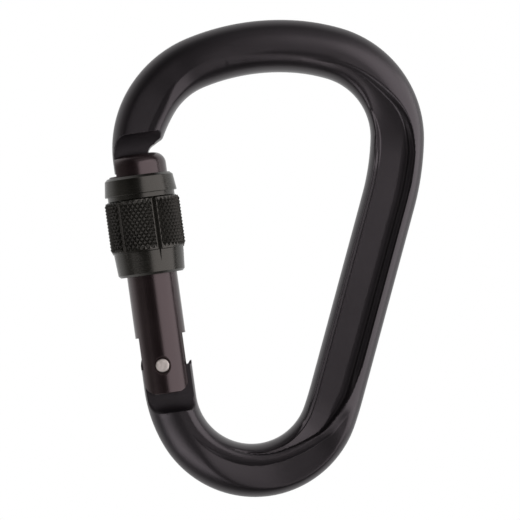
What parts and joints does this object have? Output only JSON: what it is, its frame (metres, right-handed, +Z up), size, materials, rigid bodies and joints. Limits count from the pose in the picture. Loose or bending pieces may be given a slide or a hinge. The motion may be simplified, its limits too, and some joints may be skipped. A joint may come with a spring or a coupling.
{
  "type": "screw gate carabiner",
  "caption": "Pear-shaped carabiner with a sprung hinged gate, a keyed nose and a knurled screw sleeve that locks the gate.",
  "frame": {"origin": "highest point of the crown's inner edge, on the mid-plane of the bar, where a sling or rope bears", "axes": "+Z up as it hangs, +X from the gate towards the spine, +Y across the bar"},
  "size_m": [0.0759, 0.0182, 0.1148],
  "materials": {
    "body": "satin black anodised, faintly violet where light falls along it",
    "gate": "smooth black anodised, a little glossier than the body",
    "sleeve": "matt black anodised, knurled barrel",
    "rivet": "plain stainless, upset heads",
    "spring": "drawn spring wire",
    "pusher": "turned",
    "ring": "smooth moulded ring"
  },
  "bodies": {
    "bar": {"forged_body": "body"},
    "gate_arm": {"gate": "gate", "hinge_rivet": "rivet", "gate_spring": "spring"},
    "pusher": {"spring_pusher": "pusher"},
    "sleeve_carrier": {"sleeve_ring": "ring"},
    "sleeve": {"locking_sleeve": "sleeve"}
  },
  "joints": [
    {"name": "gate_hinge", "type": "hinge", "parent": "bar", "child": "gate_arm", "pos_m": [-0.02652, 0, -0.07198], "axis": [0, 1, 0], "range_deg": [0, 27], "stiffness_Nm_per_rad": 0.25, "springref_deg": -57.3},
    {"name": "pusher_slide", "type": "slide", "parent": "gate_arm", "child": "pusher", "axis": [-0.1972, 0, 0.9804], "range_m": [0, 0.0022], "deforming": ["gate_spring"]},
    {"name": "sleeve_travel", "type": "slide", "parent": "gate_arm", "child": "sleeve_carrier", "axis": [-0.1972, 0, 0.9804], "range_m": [0, 0.0075]},
    {"name": "sleeve_turn", "type": "hinge", "parent": "sleeve_carrier", "child": "sleeve", "pos_m": [-0.02619, 0, -0.07192], "axis": [-0.1972, 0, 0.9804], "range_deg": [0, 1800]}
  ],
  "couplings": [
    {"joint": "pusher_slide", "follows": "gate_hinge", "m_per_rad": 0.0043445},
    {"joint": "sleeve_travel", "follows": "sleeve_turn", "m_per_rad": 0.00023873}
  ]
}
